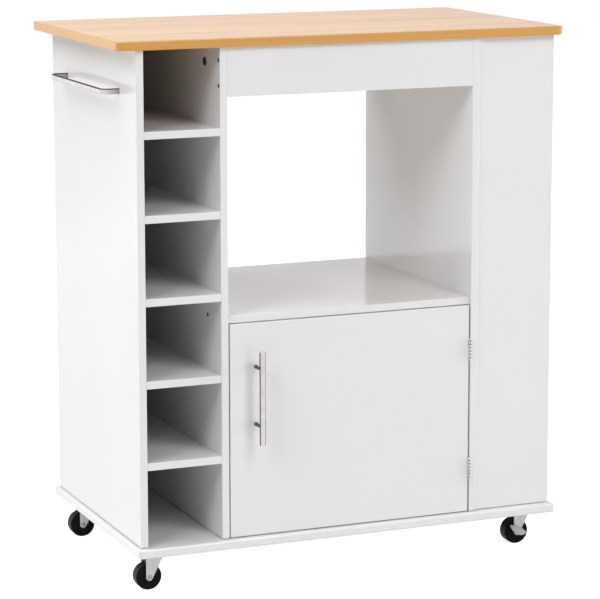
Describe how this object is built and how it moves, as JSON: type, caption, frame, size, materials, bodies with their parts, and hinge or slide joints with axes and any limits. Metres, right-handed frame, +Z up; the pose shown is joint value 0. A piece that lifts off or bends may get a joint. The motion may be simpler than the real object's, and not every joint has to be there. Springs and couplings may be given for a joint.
{
  "type": "kitchen island cart",
  "caption": "Rolling kitchen island with a solid wood top, wine rack column, open niche over a one-door cupboard, side rack and towel bar.",
  "frame": {"origin": "on the floor, under the middle of the bounding box at rest", "axes": "+X to the right seen from the front, +Y towards the back, +Z up"},
  "size_m": [0.79, 0.478, 0.9045],
  "materials": {
    "worktop_wood": "oiled solid wood staves with fine straight grain along the width, satin",
    "white_board": "white painted wood-fibre board, semi-gloss, with very soft reflections",
    "satin_nickel": "satin nickel plate, finely brushed along its length",
    "zinc_plate": "bright zinc-plated pressed steel",
    "fixing_steel": "zinc-plated fixings",
    "dark_zinc": "dull grey cast cam locks and their bolts, the carcass screws and the hinge pins",
    "black_tread": "black nylon wheel with a finely moulded rim",
    "beech": "fluted beech dowels",
    "white_plastic": "moulded white plastic"
  },
  "bodies": {
    "carcass": {"worktop": "worktop_wood", "left_side_panel": "white_board", "wine_divider": "white_board", "right_divider": "white_board", "base_board": "white_board", "front_apron": "white_board", "rear_apron": "white_board", "centre_shelf": "white_board", "wine_shelf_1": "white_board", "wine_shelf_2": "white_board", "wine_shelf_3": "white_board", "wine_shelf_4": "white_board", "wine_shelf_5": "white_board", "rack_front_panel": "white_board", "rack_rear_panel": "white_board", "rack_shelf_1": "white_board", "rack_shelf_2": "white_board", "rack_shelf_3": "white_board", "wine_back": "white_board", "cupboard_back": "white_board", "loose_shelf": "white_board", "shelf_pins": "fixing_steel", "frame_hinge_leaves": "fixing_steel", "hinge_pins": "dark_zinc", "frame_hinge_screws": "fixing_steel", "catch_magnet": "white_plastic", "catch_screws": "fixing_steel", "towel_bar": "satin_nickel", "towel_bar_screws": "fixing_steel", "cam_locks": "dark_zinc", "cam_bolts": "dark_zinc", "dowels": "beech", "base_screws": "fixing_steel", "carcass_screws": "dark_zinc", "caster_plates": "zinc_plate", "caster_screws": "zinc_plate", "caster_kingpins": "zinc_plate", "caster_ball_rings": "zinc_plate"},
    "door": {"door": "white_board", "handle_bar": "satin_nickel", "handle_posts": "satin_nickel", "handle_screws": "fixing_steel", "door_hinge_leaves": "fixing_steel", "door_screws": "fixing_steel", "strike_plate": "fixing_steel"},
    "front_left_swivel": {"fork_fl": "zinc_plate", "axle_fl": "zinc_plate"},
    "front_left_roller": {"wheel_fl": "black_tread"},
    "front_right_swivel": {"fork_fr": "zinc_plate", "axle_fr": "zinc_plate"},
    "front_right_roller": {"wheel_fr": "black_tread"},
    "front_right_brake": {"brake_pedal_fr": "zinc_plate"},
    "rear_left_swivel": {"fork_rl": "zinc_plate", "axle_rl": "zinc_plate"},
    "rear_left_roller": {"wheel_rl": "black_tread"},
    "rear_right_swivel": {"fork_rr": "zinc_plate", "axle_rr": "zinc_plate"},
    "rear_right_roller": {"wheel_rr": "black_tread"},
    "rear_right_brake": {"brake_pedal_rr": "zinc_plate"}
  },
  "joints": [
    {"name": "door_hinge", "type": "hinge", "parent": "carcass", "child": "door", "pos_m": [0.22825, -0.20745, 0.2595], "axis": [0, 0, 1], "range_deg": [0, 170]},
    {"name": "front_left_swivel_turn", "type": "hinge", "parent": "carcass", "child": "front_left_swivel", "pos_m": [-0.323, -0.163, 0.05], "axis": [0, 0, 1], "continuous": true},
    {"name": "front_left_roll", "type": "hinge", "parent": "front_left_swivel", "child": "front_left_roller", "pos_m": [-0.338, -0.163, 0.022], "axis": [0, 1, 0], "continuous": true},
    {"name": "front_right_swivel_turn", "type": "hinge", "parent": "carcass", "child": "front_right_swivel", "pos_m": [0.359, -0.15, 0.05], "axis": [0, 0, 1], "continuous": true},
    {"name": "front_right_roll", "type": "hinge", "parent": "front_right_swivel", "child": "front_right_roller", "pos_m": [0.344, -0.15, 0.022], "axis": [0, 1, 0], "continuous": true},
    {"name": "front_right_brake_rock", "type": "hinge", "parent": "front_right_swivel", "child": "front_right_brake", "pos_m": [0.344, -0.15, 0.022], "axis": [0, 1, 0], "range_deg": [-25, 0]},
    {"name": "rear_left_swivel_turn", "type": "hinge", "parent": "carcass", "child": "rear_left_swivel", "pos_m": [-0.323, 0.186, 0.05], "axis": [0, 0, 1], "continuous": true},
    {"name": "rear_left_roll", "type": "hinge", "parent": "rear_left_swivel", "child": "rear_left_roller", "pos_m": [-0.338, 0.186, 0.022], "axis": [0, 1, 0], "continuous": true},
    {"name": "rear_right_swivel_turn", "type": "hinge", "parent": "carcass", "child": "rear_right_swivel", "pos_m": [0.359, 0.173, 0.05], "axis": [0, 0, 1], "continuous": true},
    {"name": "rear_right_roll", "type": "hinge", "parent": "rear_right_swivel", "child": "rear_right_roller", "pos_m": [0.344, 0.173, 0.022], "axis": [0, 1, 0], "continuous": true},
    {"name": "rear_right_brake_rock", "type": "hinge", "parent": "rear_right_swivel", "child": "rear_right_brake", "pos_m": [0.344, 0.173, 0.022], "axis": [0, 1, 0], "range_deg": [-25, 0]}
  ]
}
